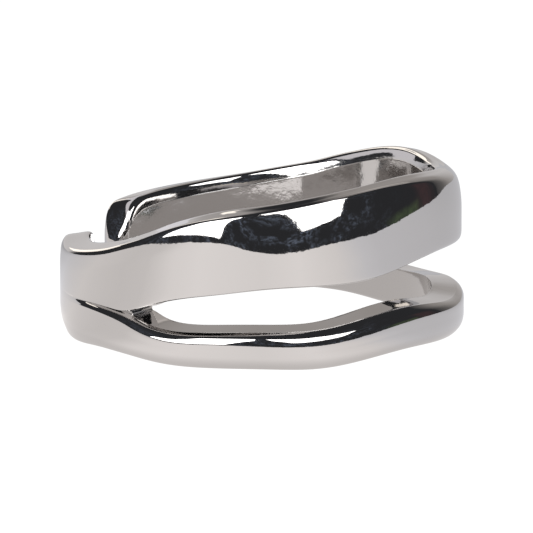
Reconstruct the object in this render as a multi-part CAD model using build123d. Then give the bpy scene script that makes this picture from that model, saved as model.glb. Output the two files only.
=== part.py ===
from build123d import *
from collections import namedtuple
from math import asin, cos, radians, sin, sqrt
import os

# Open cuff ring, in millimetres.
# +Z is the finger axis. The ring lies on its side on the plane z = 0, with its axis through the origin.
# The split face looks along -Y and the opening between the two ends is at +Y.
# Angles run round the finger axis from the middle of the split face, and are positive towards +X.

# driving sizes
finger_radius = 8.65
outer_radius = 10.3
left_end_angle = -170.0
right_end_angle = 173.0

# edge shapes shared by every section
comfort_top = 0.50  # rounding of the inner wall into the top
comfort_bottom = 0.34  # rounding of the inner wall into the bottom
blank_allowance = 0.04  # metal inside the finger wall, taken off when the hole is bored
top_corner = 0.18  # small rounding where the top meets the outer face
corner_rise = 0.054  # how far that rounding starts above the corner
dome = 0.08  # how fast the outer face leans in above its upright part, per mm
notch_depth = 0.38  # how far the lower band's rounded upper edge is set back along the slot
slope_across_floor = 0.15  # the top of the lower band is this much higher at the finger

# the slot's round tips, and the reach of the tool that opens it
tip_angle = 101.5
tip_radius = 0.28
tip_height = 2.38
cutter_inner = finger_radius - 1.2
cutter_outer = outer_radius + 1.2

# the rounded free ends
nose_radius = 0.90
top_end_radius = 1.2
top_end_rise = 0.24  # the rounding meets the sloping top a little before its own crest
bottom_end_radius = 0.7
bottom_end_rise = 0.10
wall_middle = (finger_radius + outer_radius) / 2

# bottom, top: heights of the band's lower and upper sides
# drop: how far the top falls from the finger side to its outer corner
# lean: height where the outer face starts to lean in
# ceiling, floor: upper and lower side of the slot, or of the crease that runs on from it
# lip: rounding of the upper band's lower edge
# notch, shoulder: depth and height of the lower band's rounded upper edge
# slim: how much further in the upper band's outer face lies than the lower band's
# heel, tuck: height and depth of the rounding under the outer face
overrun = 0.05  # the lip and the shoulder run on this far into the slot, and are cut there
Section = namedtuple(
    "Section",
    "angle bottom top drop lean ceiling floor lip notch shoulder slim heel tuck",
)
sections = [
    Section(left_end_angle, 0.03, 4.62, 0.20, 3.30, 2.40, 2.36, 0.20, 0.00, 0.30, 0.00, 1.50, 0.38),
    Section(-160, 0.00, 4.82, 0.20, 3.40, 2.42, 2.38, 0.20, 0.00, 0.30, 0.00, 1.50, 0.38),
    Section(-147, 0.00, 4.90, 0.25, 3.50, 2.44, 2.40, 0.20, 0.00, 0.30, 0.00, 1.45, 0.40),
    Section(-135, 0.04, 5.05, 0.30, 3.60, 2.46, 2.42, 0.20, 0.01, 0.30, 0.00, 1.20, 0.44),
    Section(-127, 0.14, 5.25, 0.34, 3.80, 2.50, 2.46, 0.20, 0.05, 0.32, 0.00, 1.00, 0.47),
    Section(-120, 0.24, 5.49, 0.36, 4.00, 2.56, 2.51, 0.20, 0.15, 0.36, 0.00, 0.90, 0.50),
    Section(-112, 0.27, 5.83, 0.38, 4.35, 2.60, 2.52, 0.20, 0.29, 0.44, 0.00, 0.80, 0.50),
    Section(-105, 0.22, 6.28, 0.38, 4.75, 2.58, 2.38, 0.20, 0.36, 0.50, 0.00, 0.80, 0.50),
    Section(-98, 0.12, 6.70, 0.34, 5.20, 2.88, 2.03, 0.20, notch_depth, 0.52, 0.00, 0.80, 0.50),
    Section(-90, 0.04, 7.15, 0.20, 5.55, 3.33, 1.82, 0.20, notch_depth, 0.55, 0.00, 0.80, 0.50),
    Section(-75, 0.06, 7.84, 0.20, 5.90, 3.84, 1.89, 0.20, notch_depth, 0.58, 0.00, 0.80, 0.50),
    Section(-60, 0.06, 8.18, 0.22, 5.30, 4.18, 1.94, 0.20, notch_depth, 0.68, 0.00, 0.80, 0.50),
    Section(-45, 0.00, 8.53, 0.18, 5.60, 4.25, 1.98, 0.20, notch_depth, 0.78, 0.00, 0.80, 0.50),
    Section(-30, 0.24, 8.83, 0.10, 5.90, 4.36, 2.38, 0.24, notch_depth, 0.90, 0.00, 0.80, 0.50),
    Section(-15, 0.42, 9.02, 0.12, 6.50, 4.80, 2.58, 0.30, notch_depth, 0.80, 0.02, 0.80, 0.50),
    Section(0, 0.30, 8.93, 0.18, 6.70, 4.99, 2.34, 0.38, notch_depth, 0.55, 0.06, 0.80, 0.50),
    Section(15, 0.14, 8.66, 0.22, 6.50, 4.86, 2.10, 0.42, notch_depth, 0.45, 0.12, 0.80, 0.50),
    Section(30, 0.04, 8.40, 0.22, 6.30, 4.70, 2.15, 0.42, 0.33, 0.42, 0.14, 0.80, 0.50),
    Section(45, 0.00, 8.31, 0.22, 6.10, 4.45, 2.11, 0.40, 0.23, 0.38, 0.10, 0.80, 0.50),
    Section(60, 0.00, 8.46, 0.20, 6.00, 4.15, 1.92, 0.34, 0.20, 0.36, 0.04, 0.80, 0.50),
    Section(75, 0.06, 8.22, 0.20, 5.80, 3.75, 1.94, 0.28, 0.20, 0.36, 0.00, 0.80, 0.50),
    Section(90, 0.28, 7.61, 0.20, 5.40, 3.20, 2.05, 0.22, 0.24, 0.38, 0.00, 0.80, 0.50),
    Section(98, 0.33, 7.27, 0.20, 5.10, 2.82, 2.18, 0.20, 0.26, 0.40, 0.00, 0.80, 0.50),
    Section(105, 0.34, 6.98, 0.20, 4.85, 2.58, 2.38, 0.20, 0.25, 0.40, 0.00, 0.80, 0.50),
    Section(113, 0.28, 6.68, 0.20, 4.60, 2.58, 2.50, 0.20, 0.17, 0.36, 0.00, 0.90, 0.50),
    Section(121, 0.20, 6.43, 0.20, 4.40, 2.54, 2.49, 0.20, 0.07, 0.30, 0.00, 1.00, 0.50),
    Section(135, 0.06, 6.13, 0.20, 4.20, 2.50, 2.46, 0.20, 0.01, 0.30, 0.00, 1.15, 0.46),
    Section(150, 0.00, 5.90, 0.20, 4.10, 2.46, 2.42, 0.20, 0.00, 0.30, 0.00, 1.30, 0.42),
    Section(162, 0.00, 5.70, 0.20, 4.00, 2.44, 2.40, 0.20, 0.00, 0.30, 0.00, 1.40, 0.40),
    Section(right_end_angle, 0.02, 5.42, 0.20, 3.90, 2.42, 2.38, 0.20, 0.00, 0.30, 0.00, 1.40, 0.40),
]
tallest = max(s.top for s in sections)


def at(angle, radius, height):
    """A point of the ring from its angle, its distance from the finger axis and its height."""
    turn = radians(angle)
    return Vector(radius * sin(turn), -radius * cos(turn), height)


def corner_middle(start, corner, end):
    """A point in the middle of a small rounding that replaces a corner."""
    return tuple((s + 2 * c + e) / 4 for s, c, e in zip(start, corner, end))


def upright_arc_middle(depth, height):
    """The middle of an arc that leaves an upright line and ends this far in and this far along."""
    radius = (height**2 + depth**2) / (2 * depth)
    half_turn = asin(height / radius) / 2
    return radius * (1 - cos(half_turn)), radius * sin(half_turn)


def quarter_middle(depth, height):
    """The middle of a quarter round that starts upright and ends level."""
    share = 1 - sqrt(0.5)
    return depth * share, height * share


def outline(s):
    """Corner points of one section with the arc points between them, as (radius, height)."""
    blank_radius = finger_radius - blank_allowance
    top_inner = (blank_radius + comfort_top, s.top)
    corner_height = s.top - s.drop
    upper_radius = outer_radius - s.slim
    corner = (upper_radius - dome * (corner_height - s.lean) ** 2, corner_height)
    corner_in = (corner[0] - top_corner, corner_height + corner_rise)
    below = corner_height - top_corner
    corner_out = (upper_radius - dome * (below - s.lean) ** 2, below)
    half_way = (below + s.lean) / 2
    dome_middle = (upper_radius - dome * (half_way - s.lean) ** 2, half_way)

    lip_depth = min(s.lip, s.notch)
    extra = min(overrun, (s.ceiling - s.floor) / 3)
    shoulder_height = s.floor - s.shoulder
    heel_in, heel_up = upright_arc_middle(s.tuck, s.heel)
    heel_top = s.bottom + s.heel

    legs = [((blank_radius, s.bottom + comfort_bottom), None)]
    round_in, round_up = quarter_middle(comfort_top, comfort_top)
    legs.append(
        (
            (blank_radius, s.top - comfort_top),
            (blank_radius + round_in, s.top - round_up),
        )
    )
    legs.append((top_inner, None))
    legs.append((corner_in, corner_middle(corner_in, corner, corner_out)))
    legs.append((corner_out, dome_middle))
    legs.append(((upper_radius, s.lean), None))
    lip_in, lip_up = quarter_middle(lip_depth, s.lip)
    lip_start = (upper_radius, s.ceiling + s.lip)
    lip_middle = (upper_radius - lip_in, s.ceiling + lip_up)
    legs.append((lip_start, lip_middle if lip_depth else None))
    legs.append(((upper_radius - lip_depth, s.ceiling - extra), None))
    if s.notch:
        notch_in, notch_up = upright_arc_middle(s.notch, s.shoulder)
        notch_middle = (outer_radius - notch_in, shoulder_height + notch_up)
    else:
        notch_middle = None
    legs.append(((outer_radius - s.notch, s.floor + extra), notch_middle))
    legs.append(((outer_radius, shoulder_height), None))
    heel_middle = (outer_radius - heel_in, heel_top - heel_up)
    legs.append(((outer_radius, heel_top), heel_middle))
    legs.append(((outer_radius - s.tuck, s.bottom), None))
    base_in, base_up = quarter_middle(comfort_bottom, comfort_bottom)
    base_middle = (blank_radius + base_in, s.bottom + base_up)
    legs.append(((blank_radius + comfort_bottom, s.bottom), base_middle))
    return legs


def section_wire(s):
    """The closed outline of the band where a plane through the axis cuts it."""
    legs = outline(s)
    edges = []
    for number, (start, middle) in enumerate(legs):
        end = legs[(number + 1) % len(legs)][0]
        if middle is None:
            edges.append(Line(at(s.angle, *start), at(s.angle, *end)))
        else:
            edges.append(
                ThreePointArc(
                    at(s.angle, *start), at(s.angle, *middle), at(s.angle, *end)
                )
            )
    return Wire(edges)


def band_blank():
    """The band before boring and cutting, lofted through its sections."""
    return Solid.make_loft([section_wire(s) for s in sections])


def finger_bore():
    """The round hole for the finger."""
    return Cylinder(finger_radius, 2 * tallest)


def slot_opening(angle, floor, ceiling):
    """The outline of the slot's tool across the band."""
    rise = slope_across_floor / (outer_radius - finger_radius)
    edge_radius = outer_radius - notch_depth
    low_inner = floor + rise * (edge_radius - cutter_inner)
    low_outer = floor - rise * (cutter_outer - edge_radius)
    return Wire(
        Polyline(
            at(angle, cutter_inner, low_inner),
            at(angle, cutter_inner, ceiling),
            at(angle, cutter_outer, ceiling),
            at(angle, cutter_outer, low_outer),
            close=True,
        )
    )


def slot_tip(side):
    """A round tool along the radius that ends the slot."""
    middle_radius = (cutter_inner + cutter_outer) / 2
    turn = radians(side * tip_angle)
    place = Plane(
        origin=at(side * tip_angle, middle_radius, tip_height),
        z_dir=(sin(turn), -cos(turn), 0),
    )
    return place * Cylinder(tip_radius, cutter_outer - cutter_inner)


def slot_tools():
    """The tools that open the slot between the two bands, tip to tip."""
    low = tip_height - tip_radius - slope_across_floor / 2
    high = tip_height + tip_radius
    wires = [slot_opening(-tip_angle, low, high)]
    for s in sections:
        if abs(s.angle) < tip_angle:
            wires.append(slot_opening(s.angle, s.floor, s.ceiling))
    wires.append(slot_opening(tip_angle, low, high))
    return [Solid.make_loft(wires), slot_tip(-1), slot_tip(1)]


def end_nose(angle, inward):
    """What is taken off one end to round it as seen from above."""
    place = Plane(
        origin=at(angle, wall_middle, 0), x_dir=at(angle, 1, 0), z_dir=(0, 0, 1)
    )
    block = Pos(0, -inward * nose_radius / 2, 0)
    block *= Box(6 * nose_radius, 3 * nose_radius, 3 * tallest)
    core = Pos(0, inward * nose_radius, 0) * Cylinder(nose_radius, 3 * tallest)
    return place * (block - core)


def end_corner(angle, inward, height, up, radius):
    """What is taken off one end to round its upper or lower corner, seen along the radius."""
    place = Plane(
        origin=at(angle, wall_middle, height),
        x_dir=at(angle + 90, 1, 0),
        z_dir=at(angle, 1, 0),
    )
    block = Pos(-inward * radius / 2, up * radius / 2, 0)
    block *= Box(3 * radius, 3 * radius, 4 * nose_radius)
    core = Pos(inward * radius, -up * radius, 0)
    core *= Cylinder(radius, 6 * nose_radius)
    return place * (block - core)


def end_tools():
    """Everything that is taken off to round the two free ends."""
    tools = []
    for angle, inward, last in (
        (left_end_angle, 1, sections[0]),
        (right_end_angle, -1, sections[-1]),
    ):
        high = last.top + top_end_rise
        low = last.bottom - bottom_end_rise
        tools.append(end_nose(angle, inward))
        tools.append(end_corner(angle, inward, high, 1, top_end_radius))
        tools.append(end_corner(angle, inward, low, -1, bottom_end_radius))
    return tools


def cuff_band():
    """The whole ring as one solid."""
    ring = band_blank() - finger_bore()
    for tool in slot_tools() + end_tools():
        ring -= tool
    return ring


os.makedirs("parts", exist_ok=True)
band = cuff_band()
export_step(band, "parts/cuff_band.step")
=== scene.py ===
import math

import bmesh
import bpy
import numpy as np
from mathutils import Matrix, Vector, noise


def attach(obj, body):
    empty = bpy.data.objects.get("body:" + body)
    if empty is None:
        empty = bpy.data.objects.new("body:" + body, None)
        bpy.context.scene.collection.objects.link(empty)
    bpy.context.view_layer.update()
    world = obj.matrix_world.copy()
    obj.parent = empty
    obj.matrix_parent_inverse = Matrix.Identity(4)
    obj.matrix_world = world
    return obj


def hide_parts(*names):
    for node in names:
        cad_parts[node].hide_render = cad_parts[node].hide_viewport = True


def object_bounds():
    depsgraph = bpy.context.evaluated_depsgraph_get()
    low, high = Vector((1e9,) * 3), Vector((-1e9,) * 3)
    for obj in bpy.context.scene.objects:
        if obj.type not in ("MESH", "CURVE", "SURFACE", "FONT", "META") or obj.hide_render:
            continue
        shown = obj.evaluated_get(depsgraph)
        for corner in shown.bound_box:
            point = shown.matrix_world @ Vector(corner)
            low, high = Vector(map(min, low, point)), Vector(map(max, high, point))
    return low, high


# An open cuff ring that lies on its side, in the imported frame. Metres, +Z is the finger axis.
# Angles run round that axis from -Y and are positive towards +X. Azimuths are the same angles,
# and elevations are angles above the table, both in degrees.

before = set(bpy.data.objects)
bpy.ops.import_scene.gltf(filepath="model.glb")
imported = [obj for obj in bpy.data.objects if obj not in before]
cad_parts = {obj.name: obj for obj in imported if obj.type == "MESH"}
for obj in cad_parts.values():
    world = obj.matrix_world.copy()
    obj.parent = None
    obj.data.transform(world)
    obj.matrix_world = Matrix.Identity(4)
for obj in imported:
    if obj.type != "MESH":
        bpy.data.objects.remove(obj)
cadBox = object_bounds()
mm = 0.001
print("frame read, packed height in mm:", round(cadBox[1][2] / mm, 2))


# Shader maths: a wire is one output socket, and arithmetic on wires adds Math nodes.

class Wire:
    def __init__(self, graph, socket):
        self.graph = graph
        self.socket = socket

    def math(self, operation, *values):
        sockets = {place: value for place, value in enumerate(values)}
        return self.graph.add("ShaderNodeMath", {"operation": operation}, sockets)

    def __add__(self, other):
        return self.math("ADD", self, other)

    def __radd__(self, other):
        return self.math("ADD", other, self)

    def __sub__(self, other):
        return self.math("SUBTRACT", self, other)

    def __rsub__(self, other):
        return self.math("SUBTRACT", other, self)

    def __mul__(self, other):
        return self.math("MULTIPLY", self, other)

    def __rmul__(self, other):
        return self.math("MULTIPLY", other, self)

    def __truediv__(self, other):
        return self.math("DIVIDE", self, other)

    def atLeast(self, low):
        return self.math("MAXIMUM", self, low)

    def clipped(self):
        return self.math("MINIMUM", self.atLeast(0.0), 1.0)


class Graph:  # the node tree of one material
    def __init__(self, material):
        self.tree = material.node_tree
        self.tree.nodes.clear()

    def add(self, kind, settings=None, sockets=None, output=0):
        node = self.tree.nodes.new(kind)
        for name, value in (settings or {}).items():
            if name == "stops":
                while len(node.color_ramp.elements) < len(value):
                    node.color_ramp.elements.new(0.5)
                for element, (place, colour) in zip(node.color_ramp.elements, value):
                    element.position = place
                    element.color = colour
            else:
                setattr(node, name, value)
        for name, value in (sockets or {}).items():
            if isinstance(value, Wire):
                self.tree.links.new(value.socket, node.inputs[name])
            else:
                node.inputs[name].default_value = value
        return Wire(self, node.outputs[output]) if len(node.outputs) else None


def newMaterial(name):
    material = bpy.data.materials.new(name)
    material.use_nodes = True
    return material, Graph(material)


def objectFrom(name, vertices, faces):
    mesh = bpy.data.meshes.new(name)
    mesh.from_pydata(vertices, [], faces)
    piece = bpy.data.objects.new(name, mesh)
    bpy.context.scene.collection.objects.link(piece)
    return piece


# The band, in millimetres and degrees. Where a value has two entries, they are for the left and
# the right free end.

band = {
    "fingerRadius": 8.65,
    "outerRadius": round(cadBox[1][0] / mm, 2),
    "leftEnd": -167.0,
    "rightEnd": 173.0,
    # the rounding from the top to the finger wall: distance out from the wall and down from the top
    "comfortTop": ((0.34, 0.0), (0.16, 0.05), (0.10, 0.13), (0.04, 0.38), (0.0, 0.66)),
    "comfortBottom": 0.34,  # radius of the same rounding at the bottom
    "dome": 0.08,  # how fast the outer face leans in above its upright part
    "lipMiddle": 0.29,  # share of the lip's size at the middle of its rounding
    "floorRise": 0.15,  # the slot's floor is this much higher at the finger
    "riseFade": 10.0,  # and dies out over this many degrees past the slot's end
    "edgeReach": 0.10,  # rounding of the slot's edges
    "tipAngle": 103.2,  # where the slot's end wall stands on the outer face
    "tipSkew": 2.2,  # the wall stands this much nearer the front at the finger
    "skewFade": 14.0,  # which dies out over this many degrees
    # how an end rounds off, seen from above and then seen along the radius: over what length, by
    # what power (2 is an ellipse), and the share of its size that the last row keeps
    "noseWidth": ((1.3, 2.0, 0.10), (0.55, 2.1, 0.45)),
    "noseHeight": ((1.3, 2.0, 0.10), (1.0, 2.1, 0.10)),
    "noseInside": (1.3, 2.2),  # the second length, on the finger side
    "noseFloor": 0.80,  # the core that an end rounds off to starts this high
    "noseRoof": (1.4, 2.6),  # and ends this far below the top
    "ripple": {"outer": 0.008, "inner": 0.0024},  # unevenness left by casting and polishing
    "rippleLength": 2.6,
}

# how closely the band is meshed: degrees between rows, rows beside and past the slot's ends,
# lengths of the rows at the free ends, then shares of the upright stretches between two corners
weave = {
    "step": 3.7,
    "besideTip": (0.0, 0.9, 2.0, 3.6, 5.8),
    "pastTip": (0.9, 2.2, 4.2),
    "noseRows": (0.0, 0.05, 0.15, 0.3, 0.5, 0.75, 1.05, 1.45, 1.9, 2.4),
    "upperOutside": (0.3, 0.64, 1.0),
    "upperInside": (0.3, 0.54, 0.8, 1.0),
    "lowerInside": (0.0, 0.25, 0.55, 0.84, 1.0),
    "shoulder": (0.66, 0.33),
    "tuck": (0.4, 0.75),
    "comfortTurns": (67.5, 45.0, 22.5),
    "underTop": 0.06,  # from the rounding at the finger to the next line of points
    "footLift": 0.01,  # keeps the rounding under the outer face just clear of the bottom
    "footShare": 0.4,
    "flatNotch": 0.001,  # a crease less deep than this is left out
    "atTip": 0.01,  # a row this near to the slot's end is the one at its wall
    "swell": 0.97,  # makes up for what the smoothing takes off between two rows
    "fineness": 2,
}

# angle, heights of the lower and upper side, fall of the top to its outer corner, height where
# the face starts to lean in, upper and lower side of the slot or crease, rounding of the upper
# band's lower edge, depth and height of the lower band's rounded upper edge, how much less the
# radius of the upper band is, height and depth of the rounding under the outer face
columns = ["angle", "bottom", "top", "drop", "lean", "ceiling", "floor", "lip", "notch",
           "shoulder", "slim", "heel", "tuck"]
rows = [
    (-170, 0.03, 4.62, 0.20, 3.30, 2.40, 2.36, 0.20, 0.00, 0.30, 0.00, 1.50, 0.38),
    (-160, 0.00, 4.82, 0.20, 3.40, 2.42, 2.38, 0.20, 0.00, 0.30, 0.00, 1.50, 0.38),
    (-147, 0.00, 4.90, 0.25, 3.50, 2.44, 2.40, 0.20, 0.00, 0.30, 0.00, 1.45, 0.40),
    (-135, 0.04, 5.05, 0.26, 3.60, 2.46, 2.42, 0.20, 0.01, 0.30, 0.00, 1.20, 0.44),
    (-127, 0.14, 5.25, 0.29, 3.80, 2.50, 2.46, 0.12, 0.05, 0.32, 0.00, 1.00, 0.47),
    (-120, 0.24, 5.49, 0.31, 4.00, 2.56, 2.51, 0.10, 0.15, 0.36, 0.00, 0.90, 0.50),
    (-112, 0.27, 5.83, 0.33, 4.35, 2.60, 2.52, 0.09, 0.29, 0.44, 0.00, 0.80, 0.50),
    (-105, 0.22, 6.28, 0.36, 4.75, 2.58, 2.38, 0.09, 0.36, 0.50, 0.00, 0.80, 0.50),
    (-98, 0.12, 6.70, 0.34, 5.20, 2.88, 2.03, 0.13, 0.38, 0.52, 0.00, 0.80, 0.50),
    (-90, 0.04, 7.15, 0.20, 5.55, 3.33, 1.82, 0.20, 0.38, 0.55, 0.00, 0.80, 0.50),
    (-75, 0.06, 7.84, 0.20, 5.90, 3.84, 1.89, 0.20, 0.38, 0.58, 0.00, 0.80, 0.50),
    (-60, 0.06, 8.18, 0.22, 5.30, 4.18, 1.94, 0.20, 0.38, 0.68, 0.00, 0.80, 0.50),
    (-45, 0.00, 8.53, 0.18, 5.60, 4.25, 1.98, 0.20, 0.38, 0.78, 0.00, 0.80, 0.50),
    (-30, 0.24, 8.83, 0.10, 5.90, 4.36, 2.38, 0.24, 0.38, 0.90, 0.00, 0.80, 0.50),
    (-15, 0.42, 9.02, 0.12, 6.50, 4.80, 2.58, 0.30, 0.38, 0.80, 0.02, 0.80, 0.50),
    (0, 0.30, 8.93, 0.18, 6.70, 4.99, 2.34, 0.38, 0.38, 0.55, 0.06, 0.80, 0.50),
    (15, 0.14, 8.66, 0.22, 6.50, 4.86, 2.10, 0.42, 0.38, 0.45, 0.12, 0.80, 0.50),
    (30, 0.04, 8.40, 0.22, 6.30, 4.70, 2.15, 0.42, 0.33, 0.42, 0.14, 0.80, 0.50),
    (45, 0.00, 8.31, 0.22, 6.10, 4.45, 2.11, 0.40, 0.23, 0.38, 0.10, 0.80, 0.50),
    (60, 0.00, 8.46, 0.20, 6.00, 4.15, 1.92, 0.34, 0.20, 0.36, 0.04, 0.80, 0.50),
    (75, 0.06, 8.22, 0.20, 5.80, 3.75, 1.94, 0.28, 0.20, 0.36, 0.00, 0.80, 0.50),
    (90, 0.28, 7.61, 0.20, 5.40, 3.20, 2.05, 0.22, 0.24, 0.38, 0.00, 0.80, 0.50),
    (98, 0.33, 7.27, 0.20, 5.10, 2.82, 2.18, 0.20, 0.26, 0.40, 0.00, 0.80, 0.50),
    (105, 0.34, 6.98, 0.20, 4.85, 2.58, 2.38, 0.20, 0.25, 0.40, 0.00, 0.80, 0.50),
    (113, 0.28, 6.68, 0.20, 4.60, 2.58, 2.50, 0.20, 0.17, 0.36, 0.00, 0.90, 0.50),
    (121, 0.20, 6.43, 0.20, 4.40, 2.54, 2.49, 0.20, 0.07, 0.30, 0.00, 1.00, 0.50),
    (135, 0.06, 6.13, 0.20, 4.20, 2.50, 2.46, 0.20, 0.01, 0.30, 0.00, 1.15, 0.46),
    (150, 0.00, 5.90, 0.20, 4.10, 2.46, 2.42, 0.20, 0.00, 0.30, 0.00, 1.30, 0.42),
    (162, 0.00, 5.70, 0.20, 4.00, 2.44, 2.40, 0.20, 0.00, 0.30, 0.00, 1.40, 0.40),
    (173, 0.02, 5.42, 0.20, 3.90, 2.42, 2.38, 0.20, 0.00, 0.30, 0.00, 1.40, 0.40),
]
# angle and rounding of the top's outer corner
cornerRows = [
    (-170, 0.36), (-150, 0.34), (-125, 0.32), (-105, 0.26), (-80, 0.2), (-60, 0.2), (-30, 0.22),
    (-15, 0.3), (0, 0.5), (15, 0.72), (30, 0.8), (45, 0.5), (60, 0.36), (75, 0.28), (95, 0.24),
    (173, 0.24),
]
crease = 11  # place of the crease, and of the slot's end wall, in the lists of points down the ring


def spline(xs, ys):  # a natural cubic curve through the points
    gaps = np.diff(xs)
    count = len(xs)
    matrix = np.eye(count)
    bend = np.zeros(count)
    for i in range(1, count - 1):
        matrix[i, i - 1 : i + 2] = gaps[i - 1], 2 * (gaps[i - 1] + gaps[i]), gaps[i]
        bend[i] = 6 * ((ys[i + 1] - ys[i]) / gaps[i] - (ys[i] - ys[i - 1]) / gaps[i - 1])
    bend = np.linalg.solve(matrix, bend)

    def value(x):
        i = int(min(max(np.searchsorted(xs, x) - 1, 0), count - 2))
        gap = gaps[i]
        left, right = xs[i + 1] - x, x - xs[i]
        cubic = (bend[i] * left**3 + bend[i + 1] * right**3) / (6 * gap)
        near = (ys[i] / gap - bend[i] * gap / 6) * left
        far = (ys[i + 1] / gap - bend[i + 1] * gap / 6) * right
        return cubic + near + far

    return value


def curvesOf(table, names):  # one curve for each column, over the angle in the first one
    angles, *measures = (np.array(column, float) for column in zip(*table))
    return {name: spline(angles, measure) for name, measure in zip(names[1:], measures)}


def mixed(a, b, share):
    return a + (b - a) * share


def along(start, end, shares):
    return [(mixed(start[0], end[0], s), mixed(start[1], end[1], s)) for s in shares]


def faceRadius(s, height):
    return band["outerRadius"] - s["slim"] - band["dome"] * max(0.0, height - s["lean"]) ** 2


def depthShare(radius):  # 0 on the outer face, 1 at the finger
    return (band["outerRadius"] - radius) / (band["outerRadius"] - band["fingerRadius"])


def arcFromUpright(depth, height, share):  # in and along from where an arc leaves an upright line
    radius = (height**2 + depth**2) / (2 * depth)
    turn = math.asin(min(1.0, height / radius)) * share
    return radius * (1 - math.cos(turn)), radius * math.sin(turn)


def roundedCorner(before, corner, after, radius):  # start, middle and end of its rounding
    arms = []
    for point in (before, after):
        length = math.dist(point, corner)
        arms.append(((point[0] - corner[0]) / length, (point[1] - corner[1]) / length))
    half = math.acos(arms[0][0] * arms[1][0] + arms[0][1] * arms[1][1]) / 2
    reach = radius / math.tan(half)
    depth = radius * (1 / math.sin(half) - 1) / (2 * math.cos(half))
    start, end = ((corner[0] + arm[0] * reach, corner[1] + arm[1] * reach) for arm in arms)
    middle = tuple(corner[i] + depth * (arms[0][i] + arms[1][i]) for i in (0, 1))
    return [start, middle, end]


def upperOutside(s):  # from the top, down the outside, to the slot or crease
    cornerHeight = s["top"] - s["drop"]
    corner = (faceRadius(s, cornerHeight), cornerHeight)
    inside = (band["fingerRadius"] + band["comfortTop"][0][0], s["top"])
    below = (faceRadius(s, cornerHeight - s["round"]), cornerHeight - s["round"])
    points = roundedCorner(inside, corner, below, s["round"])
    points = along(points[0], inside, [0.5]) + points
    high = points[-1][1]
    for share in weave["upperOutside"]:
        height = mixed(high, s["lean"], share)
        points.append((faceRadius(s, height), height))
    radius = band["outerRadius"] - s["slim"]
    depth = min(s["lip"], s["notch"])
    lipTop = s["ceiling"] + s["lip"]
    lipMiddle = band["lipMiddle"]
    points.append((radius, mixed(s["lean"], lipTop, 0.5)))
    points.append((radius, lipTop))
    points.append((radius - lipMiddle * depth, s["ceiling"] + lipMiddle * s["lip"]))
    points.append((radius - depth, s["ceiling"]))
    return points


def lowerOutside(s):  # from the slot or crease, down the outside, to the bottom
    outer = band["outerRadius"]
    inCrease = outer - s["notch"]
    points = [(inCrease, (s["ceiling"] + s["floor"]) / 2), (inCrease, s["floor"])]
    foot = s["floor"] - s["shoulder"]
    for share in weave["shoulder"]:
        if s["notch"] > weave["flatNotch"]:
            deep, up = arcFromUpright(s["notch"], s["shoulder"], share)
        else:
            deep, up = 0.0, s["shoulder"] * share
        points.append((outer - deep, foot + up))
    heelTop = s["bottom"] + s["heel"]
    points.append((outer, foot))
    points.append((outer, mixed(foot, heelTop, 0.5)))
    points.append((outer, heelTop))
    for share in weave["tuck"]:
        deep, down = arcFromUpright(s["tuck"], s["heel"], share)
        points.append((outer - deep, heelTop - down))
    tucked, inside = outer - s["tuck"], band["fingerRadius"] + band["comfortBottom"]
    points.append((tucked, s["bottom"] + weave["footLift"]))
    points.append((mixed(tucked, inside, weave["footShare"]), s["bottom"]))
    return points


def outerPoints(s):  # 22 points from the top, down the outside, to the bottom
    return upperOutside(s) + lowerOutside(s)


def innerPoints(s):  # 22 points from the top, down the finger wall, to the bottom
    finger = band["fingerRadius"]
    base, edge = band["comfortBottom"], band["edgeReach"]
    points = [(finger + out, s["top"] - down) for out, down in band["comfortTop"]]
    high, low = points[-1][1], s["ceiling"] + edge
    under = weave["underTop"] / (high - low)
    points += along((finger, high), (finger, low), [under, *weave["upperInside"]])
    floorIn = s["floor"] + s["rise"]
    points.append((finger, s["ceiling"]))
    points.append((finger, (s["ceiling"] + floorIn) / 2))
    points.append((finger, floorIn))
    high, low = floorIn - edge, s["bottom"] + base
    points += along((finger, high), (finger, low), weave["lowerInside"])
    for turn in weave["comfortTurns"]:
        turn = math.radians(turn)
        out, up = base * (1 - math.sin(turn)), base * (1 - math.cos(turn))
        points.append((finger + out, s["bottom"] + up))
    points.append((finger + base, s["bottom"]))
    return points


def crossPoints(s, side):  # the slot's upper or lower side, from the outer face to the finger
    edge = band["edgeReach"]
    outer, finger = band["outerRadius"], band["fingerRadius"]
    if side == "ceiling":
        start = (outer - s["slim"] - min(s["lip"], s["notch"]), s["ceiling"])
        end = (finger, s["ceiling"])
    else:
        start = (outer - s["notch"], s["floor"])
        end = (finger, s["floor"] + s["rise"])
    span = start[0] - end[0]
    return along(start, end, [edge / span, 0.5, 1 - edge / span])


def angleList():  # the mesh's rows, closer together at the free ends and at the slot's ends
    tip, left, right = band["tipAngle"], band["leftEnd"], band["rightEnd"]
    nose = [math.degrees(length / band["outerRadius"]) for length in weave["noseRows"]]
    beside, past = weave["besideTip"], weave["pastTip"]
    blocks = []
    for low, high in (
        (left + nose[-1], -tip - past[-1]),
        (-tip + beside[-1], tip - beside[-1]),
        (tip + past[-1], right - nose[-1]),
    ):
        count = max(2, round((high - low) / weave["step"]))
        blocks.append(list(np.linspace(low, high, count + 1)))
    angles = [left + turn for turn in nose[:-1]] + blocks[0]
    angles += [-tip - turn for turn in past[-2::-1]] + [-tip + turn for turn in beside[:-1]]
    angles += blocks[1]
    angles += [tip - turn for turn in beside[-2::-1]] + [tip + turn for turn in past[:-1]]
    angles += blocks[2] + [right - turn for turn in nose[-2::-1]]
    return angles


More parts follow.
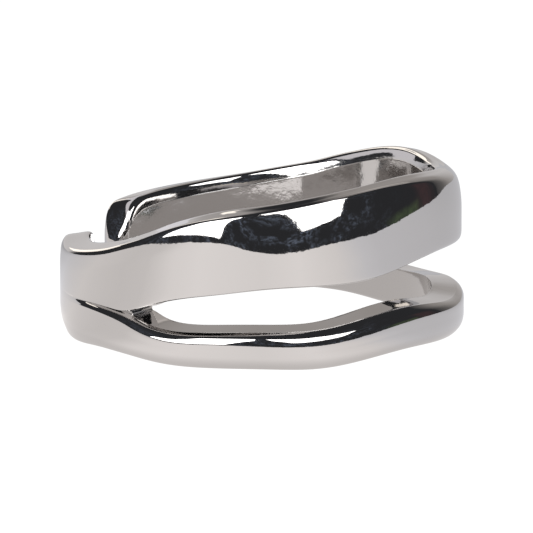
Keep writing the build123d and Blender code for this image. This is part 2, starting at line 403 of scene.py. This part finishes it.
def placed(angle, point, ripple):
    radius, height = point
    nearTip = max(0.0, 1 - abs(abs(angle) - band["tipAngle"]) / band["skewFade"])
    nearTip = nearTip * nearTip * (3 - 2 * nearTip)
    skew = band["tipSkew"] * nearTip * depthShare(radius)
    turn = math.radians(angle - math.copysign(skew, angle))
    x, y = radius * math.sin(turn), -radius * math.cos(turn)
    if ripple:
        at = Vector((x, y, height)) / band["rippleLength"]
        wave = 1 + ripple * noise.noise(at) / radius
        x, y = x * wave, y * wave
    return (x * mm, y * mm, height * mm)


def roundedEnd(s, angle, point):  # draws the last rows in to a narrow core
    away = min(angle - band["leftEnd"], band["rightEnd"] - angle)
    away = math.radians(away) * band["outerRadius"]
    side = 0 if angle < 0 else 1
    inward = min(max(depthShare(point[0]), 0.0), 1.0) ** 2
    keep = []
    for view in ("noseWidth", "noseHeight"):
        length, power, least = band[view][side]
        if view == "noseHeight":
            length = mixed(length, band["noseInside"][side], inward)
        share = 1 - min(1.0, away / length)
        keep.append(max(least, (1 - share**power) ** (1 / power)))
    middle = (band["outerRadius"] + band["fingerRadius"]) / 2
    coreLow, coreHigh = s["bottom"] + band["noseFloor"], s["top"] - band["noseRoof"][side]
    level = min(max(point[1], coreLow), coreHigh)
    return (mixed(middle, point[0], keep[0]), mixed(level, point[1], keep[1]))


def cageOf(points):  # corners of a closed cage whose smoothed curve passes through the points
    count = len(points)
    matrix = np.zeros((count, count))
    for i in range(count):
        matrix[i, i] = 4 / 6
        matrix[i, (i + 1) % count] = matrix[i, i - 1] = 1 / 6
    return [tuple(p) for p in np.linalg.solve(matrix, np.array(points))]


def sectionAt(curves, angle):  # the ring's measures at an angle, and whether it is split there
    s = {name: float(curve(angle)) for name, curve in curves.items()}
    past = abs(angle) - band["tipAngle"]
    s["notch"] = max(0.0, s["notch"])
    s["rise"] = band["floorRise"] * min(1.0, max(0.0, 1 - past / band["riseFade"]))
    zone = "tip" if abs(past) < weave["atTip"] else "split" if past < 0 else "whole"
    return s, zone


def sectionCage(s, angle, zone):  # the row's cage points, by side and by number down the ring
    outer, inner = outerPoints(s), innerPoints(s)
    shape = {("outer", i): point for i, point in enumerate(outer)}
    shape.update({("inner", i): point for i, point in enumerate(inner)})
    if zone != "whole":
        pairs = zip(crossPoints(s, "ceiling"), crossPoints(s, "floor"))
        for k, (up, down) in enumerate(pairs, 1):
            shape["ceiling", k], shape["floor", k] = up, down
            shape["wall", k] = ((up[0] + down[0]) / 2, (up[1] + down[1]) / 2)
    down, up = range(len(outer)), range(len(outer) - 1, -1, -1)
    if zone == "split":
        upperBand = [("outer", i) for i in down if i < crease]
        upperBand += [("ceiling", k) for k in (1, 2, 3)]
        upperBand += [("inner", i) for i in up if i < crease]
        lowerBand = [("outer", i) for i in down if i > crease]
        lowerBand += [("inner", i) for i in up if i > crease]
        lowerBand += [("floor", k) for k in (3, 2, 1)]
        loops = [upperBand, lowerBand]
    else:
        loops = [[("outer", i) for i in down] + [("inner", i) for i in up]]
    for loop in loops:
        points = [roundedEnd(s, angle, shape[key]) for key in loop]
        shape.update(zip(loop, cageOf(points)))
    return shape


def strip(faces, a, b):  # faces between two lines of points
    for i in range(len(a) - 1):
        faces.append((a[i], a[i + 1], b[i + 1], b[i]))


def acrossSlot(ring, side):  # from the outer face to the finger
    place = {"ceiling": crease - 1, "wall": crease, "floor": crease + 1}[side]
    middle = [ring[side][k] for k in sorted(ring[side])]
    return [ring["outer"][place]] + middle + [ring["inner"][place]]


def bandFaces(rings):
    faces = []
    last = max(rings[0]["outer"])
    for a, b in zip(rings, rings[1:]):
        opened = "split" in (a["zone"], b["zone"])
        for side in ("outer", "inner"):
            for i in range(last):
                if opened and i in (crease - 1, crease):
                    continue
                strip(faces, [a[side][i], a[side][i + 1]], [b[side][i], b[side][i + 1]])
        strip(faces, [a["inner"][0], a["outer"][0]], [b["inner"][0], b["outer"][0]])
        strip(faces, [a["outer"][last], a["inner"][last]], [b["outer"][last], b["inner"][last]])
        if opened:
            for side in ("ceiling", "floor"):
                strip(faces, acrossSlot(a, side), acrossSlot(b, side))
    for ring in rings:
        if ring["zone"] == "tip":
            strip(faces, acrossSlot(ring, "ceiling"), acrossSlot(ring, "wall"))
            strip(faces, acrossSlot(ring, "wall"), acrossSlot(ring, "floor"))
    for ring in (rings[0], rings[-1]):  # close the two free ends
        outer, inner = ([ring[side][i] for i in range(last + 1)] for side in ("outer", "inner"))
        strip(faces, outer, inner)
    return faces


def buildBand():
    curves = curvesOf(rows, columns)
    curves.update(curvesOf(cornerRows, ["angle", "round"]))
    swell = 1 + math.radians(weave["step"]) ** 2 / 6 * weave["swell"]
    vertices, rings = [], []
    for angle in angleList():
        s, zone = sectionAt(curves, angle)
        ring = {"zone": zone, "outer": {}, "inner": {}, "ceiling": {}, "floor": {}, "wall": {}}
        for (side, i), point in sectionCage(s, angle, zone).items():
            inSlot = zone == "split" and i == crease and side in ("outer", "inner")
            if inSlot or (side == "wall" and zone != "tip"):
                continue
            ring[side][i] = len(vertices)
            ripple = band["ripple"].get(side, 0.0)
            vertices.append(placed(angle, (point[0] * swell, point[1]), ripple))
        rings.append(ring)
    piece = objectFrom("cuffBand", vertices, bandFaces(rings))
    work = bmesh.new()
    work.from_mesh(piece.data)
    bmesh.ops.recalc_face_normals(work, faces=work.faces)
    work.to_mesh(piece.data)
    work.free()
    piece.data.shade_smooth()
    smooth = piece.modifiers.new("smooth", "SUBSURF")
    smooth.levels = smooth.render_levels = weave["fineness"]
    smooth.use_limit_surface = True
    return piece


# The polished plating: a mirror with a faint orange peel, and a duller, cast face at the finger.

plating = {
    "colour": (0.565, 0.55, 0.54, 1.0),
    "roughness": 0.035,
    "innerRoughness": 0.08,
    "innerDepth": (0.12, 0.10),  # millimetres: the inner face starts this far out, and fades in
    "orangePeel": 0.0035,  # millimetres
    "peelSize": 0.6,
    "peelDetail": 3.0,
    "castBump": 0.014,
    "castSize": 1.1,
    "castDetail": 4.0,
}


def polishedPlating():
    material, graph = newMaterial("polishedPlating")
    place = graph.add("ShaderNodeTexCoord", output=3)
    inMm = graph.add("ShaderNodeVectorMath", {"operation": "SCALE"}, {0: place, "Scale": 1 / mm})
    flat = graph.add("ShaderNodeVectorMath", {"operation": "MULTIPLY"}, {
        0: inMm, 1: (1.0, 1.0, 0.0)})
    radius = graph.add("ShaderNodeVectorMath", {"operation": "LENGTH"}, {0: flat}, output=1)
    start, fade = plating["innerDepth"]
    inner = ((band["fingerRadius"] + start - radius) / fade).clipped()
    peel = graph.add("ShaderNodeTexNoise", {}, {
        "Vector": inMm, "Scale": 1 / plating["peelSize"], "Detail": plating["peelDetail"]})
    cast = graph.add("ShaderNodeTexNoise", {}, {
        "Vector": inMm, "Scale": 1 / plating["castSize"], "Detail": plating["castDetail"]})
    height = peel * plating["orangePeel"] + inner * cast * plating["castBump"]
    bump = graph.add("ShaderNodeBump", {}, {"Strength": 1.0, "Distance": mm, "Height": height})
    rough = plating["roughness"] + inner * (plating["innerRoughness"] - plating["roughness"])
    shader = graph.add("ShaderNodeBsdfPrincipled", {}, {
        "Base Color": plating["colour"],
        "Metallic": 1.0,
        "Roughness": rough,
        "Normal": bump,
    })
    graph.add("ShaderNodeOutputMaterial", {}, {"Surface": shader})
    return material


# The studio that the metal mirrors. Panels stand round the ring on a sphere, and none of them is
# seen by the camera.

studio = {
    "world": (0.035, 0.036, 0.040, 1.0),
    "cardDistance": 0.6,
    "roomDistance": 0.64,
    "cardSteps": 24,
}
warm, cool, soft = (1.0, 0.93, 0.88), (1.0, 0.995, 1.035), (1.0, 0.965, 0.955)
plain = (1.0, 1.0, 1.0)


def giveGlow(graph, colour, strength=1.0):
    glow = graph.add("ShaderNodeEmission", {}, {"Color": colour, "Strength": strength})
    graph.add("ShaderNodeOutputMaterial", {}, {"Surface": glow})


def glowMaterial(name, colour, strength):
    material, graph = newMaterial(name)
    giveGlow(graph, colour, strength)
    return material


def turnOf(graph, place):  # azimuth round the ring, as a share of a full turn
    x, y = (graph.add("ShaderNodeSeparateXYZ", {}, {0: place}, output=i) for i in (0, 1))
    turn = x.math("ARCTAN2", x, -1.0 * y) / math.radians(360.0) + 1.0
    return turn.math("FRACT", turn)


def riseOf(graph, place):  # elevation in degrees, on the panels at the room's distance
    z = graph.add("ShaderNodeSeparateXYZ", {}, {0: place}, output=2)
    rise = z / studio["roomDistance"]
    return rise.math("ARCSINE", rise) / math.radians(1.0)


def eased(graph, value, start, end, begin=0.0, finish=1.0):
    return graph.add("ShaderNodeMapRange", {"interpolation_type": "SMOOTHSTEP"}, {
        0: value, 1: start, 2: end, 3: begin, 4: finish})


def toneRamp(graph, turn, stops):
    stops = [(azimuth / 360.0, (*(part * level for part in tone), 1.0))
             for azimuth, level, tone in stops]
    return graph.add("ShaderNodeValToRGB", {"stops": stops}, {0: turn})


def stageCard(name, vertices, faces, material, seen=False):
    card = objectFrom(name, vertices, faces)
    card.data.materials.append(material)
    card.visible_camera = seen
    return card


def arcCard(name, outline, material, distance):  # a curved panel, outline upwards
    steps = studio["cardSteps"]
    vertices, faces = [], []
    outline = np.array(outline, float)
    for i in range(steps + 1):
        for j in range(steps + 1):
            place = j / steps * (len(outline) - 1)
            k = min(int(place), len(outline) - 2)
            left, right = mixed(outline[k], outline[k + 1], place - k)
            azimuth, elevation = (math.radians(angle) for angle in mixed(left, right, i / steps))
            level, height = math.cos(elevation) * distance, math.sin(elevation) * distance
            vertices.append((level * math.sin(azimuth), -level * math.cos(azimuth), height))
    for i in range(steps):
        for j in range(steps):
            a = i * (steps + 1) + j
            faces.append((a, a + 1, a + steps + 2, a + steps + 1))
    return stageCard(name, vertices, faces, material)


# name, colour, strength, and the panel's left and right edge as azimuth and elevation, upwards
softboxes = [
    ("leftSoftbox", (1.0, 1.0, 1.0, 1.0), 4.4, (
        ((-124, 5), (-83, 5)), ((-121, 14), (-78, 14)), ((-114, 24), (-72, 26)),
        ((-112, 36), (-66, 36)), ((-112, 52), (-66, 52)))),
    ("rightSoftbox", (1.0, 1.0, 1.0, 1.0), 3.6, (
        ((-44, 19), (-19, 23)), ((-47, 25), (-15, 28)), ((-54, 36), (-11, 36)),
        ((-57, 52), (-26, 52)))),
    ("creamWindow", (1.0, 0.94, 0.86, 1.0), 1.8, (
        ((134, 10), (152, 8.5)), ((133, 14), (160, 12)), ((138, 18), (169, 17)),
        ((142, 23), (178, 22)), ((128, 29), (186, 29)), ((127, 36), (164, 36)))),
]


def buildSoftboxes():
    for name, colour, strength, outline in softboxes:
        arcCard(name, outline, glowMaterial(name, colour, strength), studio["cardDistance"])


# the wall behind the ring: elevations over which a band of it rises and falls away, then azimuth,
# share of the full glow and tone along it
farWall = {
    "strength": 2.8,
    "outline": (((60, -0.2), (215, -0.2)), ((60, 75), (215, 75))),
    "bands": [
        ((-4, -1), (10, 20), (
            (56, 0.0, warm), (72, 0.05, warm), (86, 0.13, warm), (118, 0.22, soft),
            (138, 0.25, soft), (150, 0.25, soft), (160, 0.0, soft), (210, 0.0, soft))),
        ((10, 20), (36, 46), (
            (60, 0.0, warm), (75, 0.06, warm), (90, 0.12, warm), (118, 0.146, warm),
            (140, 0.20, soft), (150, 0.20, soft), (162, 0.0, soft), (210, 0.0, soft))),
        ((38, 42), (58, 68), (
            (84, 0.0, warm), (94, 0.20, warm), (112, 0.20, warm), (122, 0.0, warm))),
    ],
}


def buildFarWall():
    material, graph = newMaterial("farWall")
    place = graph.add("ShaderNodeTexCoord", output=3)
    turn, rise = turnOf(graph, place), riseOf(graph, place)
    total = studio["world"][:3]
    for low, high, stops in farWall["bands"]:
        share = eased(graph, rise, *low) * eased(graph, rise, *high, 1.0, 0.0)
        layer = graph.add("ShaderNodeVectorMath", {"operation": "SCALE"}, {
            0: toneRamp(graph, turn, stops), "Scale": share * farWall["strength"]})
        total = graph.add("ShaderNodeVectorMath", {"operation": "ADD"}, {0: layer, 1: total})
    giveGlow(graph, total)
    arcCard("farWall", farWall["outline"], material, studio["roomDistance"])


# the dark, mottled room on the camera's side: fineness of a tint's mottle and where it starts,
# tone, elevations over which it falls away, then azimuth and share
darkRoom = {
    "outline": (((-145, -0.2), (60, -0.2)), ((-145, 75), (60, 75))),
    "squash": (1.0, 1.0, 0.5),  # the mottle is drawn out upwards
    "grain": {"Detail": 5.0, "Roughness": 0.65},
    "clump": {"Detail": 3.0},
    "clumpScale": 0.2,
    "clumpStart": 0.42,
    "clumpGain": 7.0,
    "tints": [
        (60.0, 0.47, (0.45, 0.55, 0.75), (40, 60), (
            (0, 0.25), (20, 0.0), (215, 0.15), (280, 1.0), (315, 1.0), (330, 0.3), (346, 0.7),
            (360, 0.25))),
        (20.0, 0.20, (0.10, 0.16, 0.05), (3, 9), ((5, 0.0), (18, 1.0), (34, 1.0), (45, 0.0))),
        (14.0, 0.20, (0.07, 0.02, 0.02), (16, 26), ((22, 0.0), (32, 1.0), (48, 1.0), (58, 0.0))),
    ],
}


def mottle(graph, place, scale, start):
    flat = graph.add("ShaderNodeVectorMath", {"operation": "MULTIPLY"}, {
        0: place, 1: darkRoom["squash"]})
    grain = graph.add("ShaderNodeTexNoise", {}, {
        "Vector": flat, "Scale": scale, **darkRoom["grain"]})
    clump = graph.add("ShaderNodeTexNoise", {}, {
        "Vector": flat, "Scale": scale * darkRoom["clumpScale"], **darkRoom["clump"]})
    clump = ((clump - darkRoom["clumpStart"]) * darkRoom["clumpGain"]).clipped()
    return ((grain - start) / (1.0 - start)).atLeast(0.0) * clump


def buildDarkRoom():
    material, graph = newMaterial("darkRoom")
    place = graph.add("ShaderNodeTexCoord", output=3)
    turn, rise = turnOf(graph, place), riseOf(graph, place)
    total = studio["world"][:3]
    for scale, start, tone, fall, stops in darkRoom["tints"]:
        share = mottle(graph, place, scale, start) * eased(graph, rise, *fall, 1.0, 0.0)
        ramp = toneRamp(graph, turn, [(azimuth, level, plain) for azimuth, level in stops])
        layer = graph.add("ShaderNodeVectorMath", {"operation": "SCALE"}, {0: ramp, "Scale": share})
        layer = graph.add("ShaderNodeVectorMath", {"operation": "MULTIPLY"}, {0: layer, 1: tone})
        total = graph.add("ShaderNodeVectorMath", {"operation": "ADD"}, {0: layer, 1: total})
    giveGlow(graph, total)
    arcCard("darkRoom", darkRoom["outline"], material, studio["roomDistance"])


# a small grey panel just behind the ring, for the far side's inner edge, in millimetres
nearPanel = {
    "tone": (0.88, 0.86, 0.90, 1.0),
    "corners": ((8.5, 11.2, 7.4), (4.2, 11.2, 7.4), (3.4, 11.2, 9.5), (-6.5, 11.2, 9.5),
                (-6.5, 11.2, 15.5), (8.5, 11.2, 11.0)),
}


def buildNearPanel():
    corners = [tuple(part * mm for part in corner) for corner in nearPanel["corners"]]
    glow = glowMaterial("nearPanel", nearPanel["tone"], 1.0)
    stageCard("nearPanel", corners, [tuple(range(len(corners)))], glow)


# two floors in one place: a white one for the camera, and what the metal mirrors of the table,
# which glows with painted light and shade: painted shade inside the ring and on the far side, away
# from the lamps, and painted light on the lamps' side, as azimuth, brightness and tone
floors = {
    "size": 3.0,
    "colour": (0.10, 0.10, 0.10, 1.0),
    "glow": (0.98, 0.98, 0.98, 1.0),
    "mirroredHeight": 0.00001,
    # painted shade: the table's glow inside the ring, dimmer than outside it
    "insidePaintedShade": (0.72, 0.69, 0.68, 1.0),
    "insideTo": 0.009,
    "outsideFrom": 0.0115,
    # painted light and shade by azimuth: dim on the far side, away from the lamps, bright under
    # them
    "outsidePaintedLightAndShade": [
        (0, 0.82, cool), (35, 0.76, cool), (68, 0.67, cool), (95, 0.60, cool), (118, 0.50, cool),
        (145, 0.48, cool), (170, 0.80, cool), (198, 0.97, soft), (225, 0.90, soft),
        (240, 0.93, soft), (254, 1.14, soft), (268, 1.20, soft), (298, 1.12, soft),
        (316, 1.19, soft), (335, 1.06, soft), (350, 0.88, cool), (360, 0.82, cool),
    ],
}


def paleFloor():
    material, graph = newMaterial("paleFloor")
    shader = graph.add("ShaderNodeBsdfPrincipled", {}, {
        "Base Color": floors["colour"],
        "Roughness": 0.9,
        "Specular IOR Level": 0.0,
        "Emission Color": floors["glow"],
        "Emission Strength": 1.0,
    })
    graph.add("ShaderNodeOutputMaterial", {}, {"Surface": shader})
    return material


def mirroredFloorPaintedLightAndShade():
    material, graph = newMaterial("mirroredFloorPaintedLightAndShade")
    place = graph.add("ShaderNodeTexCoord", output=3)
    away = graph.add("ShaderNodeVectorMath", {"operation": "LENGTH"}, {0: place}, output=1)
    away = eased(graph, away, floors["insideTo"], floors["outsideFrom"])
    outside = toneRamp(graph, turnOf(graph, place), floors["outsidePaintedLightAndShade"])
    # painted light and shade on the table: dimmer inside the ring, and by azimuth outside it
    glow = graph.add("ShaderNodeMix", {"data_type": "RGBA"}, {
        0: away, 6: floors["insidePaintedShade"], 7: outside}, output=2)
    giveGlow(graph, glow)
    return material


def buildFloors():
    half = floors["size"] / 2
    corners = [(x * half, y * half) for x, y in ((-1, -1), (1, -1), (1, 1), (-1, 1))]
    sheets = (("floor", 0.0, paleFloor(), True),
              ("mirroredFloorPaintedLightAndShade", floors["mirroredHeight"], mirroredFloorPaintedLightAndShade(), False))
    for name, height, material, seen in sheets:
        vertices = [(x, y, height) for x, y in corners]
        sheet = stageCard(name, vertices, [(0, 1, 2, 3)], material, seen)
        sheet.visible_glossy = not seen


def buildWorld():
    world = bpy.data.worlds.new("studio")
    bpy.context.scene.world = world
    world.use_nodes = True
    background = world.node_tree.nodes["Background"]
    background.inputs["Color"].default_value = studio["world"]
    background.inputs["Strength"].default_value = 1.0


# The camera looks at the ring's finger axis, from the left of the split face.

lens = {
    "azimuth": -62.0,
    "elevation": 11.7,
    "distance": 0.300,
    "height": 0.004087,  # of the point that it looks at
    "focal": 397.4,
    "sensor": 36.0,
    "shift": (0.00844, -0.031),
    "clip": (0.01, 10.0),
}


def buildCamera():
    camera = bpy.data.objects.new("camera", bpy.data.cameras.new("camera"))
    bpy.context.scene.collection.objects.link(camera)
    azimuth, elevation = math.radians(lens["azimuth"]), math.radians(lens["elevation"])
    level = math.cos(elevation)
    back = Vector((math.sin(azimuth) * level, -math.cos(azimuth) * level, math.sin(elevation)))
    camera.location = Vector((0, 0, lens["height"])) + back * lens["distance"]
    camera.rotation_mode = "QUATERNION"
    camera.rotation_quaternion = (-back).to_track_quat("-Z", "Y")
    camera.data.lens = lens["focal"]
    camera.data.sensor_width = lens["sensor"]
    camera.data.shift_x, camera.data.shift_y = lens["shift"]
    camera.data.clip_start, camera.data.clip_end = lens["clip"]
    bpy.context.scene.camera = camera


cuffBand = buildBand()
cuffBand.data.materials.append(polishedPlating())
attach(cuffBand, "root")
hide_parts("cuff_band")
print("band built:", len(cuffBand.data.vertices), "points before smoothing")

buildFloors()
buildSoftboxes()
buildFarWall()
buildDarkRoom()
buildNearPanel()
buildWorld()
print("studio placed")

buildCamera()
bpy.context.scene.view_settings.view_transform = "Standard"
print("camera placed")
